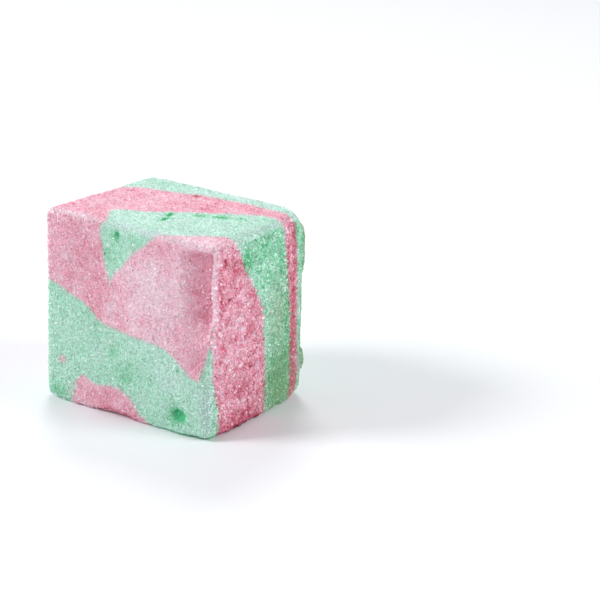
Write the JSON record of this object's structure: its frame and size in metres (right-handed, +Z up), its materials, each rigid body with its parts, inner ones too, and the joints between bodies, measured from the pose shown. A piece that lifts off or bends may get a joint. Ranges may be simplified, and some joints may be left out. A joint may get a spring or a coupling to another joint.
{
  "type": "marbled marshmallow",
  "caption": "Square-cut marshmallow marbled pink and mint, with soft edges, a hollow beside one crisp upright and sugar all over; it stands on a flat cut side.",
  "frame": {"origin": "under the middle of the block, on the plane it stands on", "axes": "+Z up, +X along the wide cut side, -Y out of the dusted front"},
  "size_m": [0.0402, 0.0306, 0.0367],
  "materials": {
    "sugared_marshmallow": "soft matte foam crusted with sugar, marbled pink and mint"
  },
  "bodies": {
    "root": {"marshmallow": "sugared_marshmallow"}
  },
  "joints": []
}
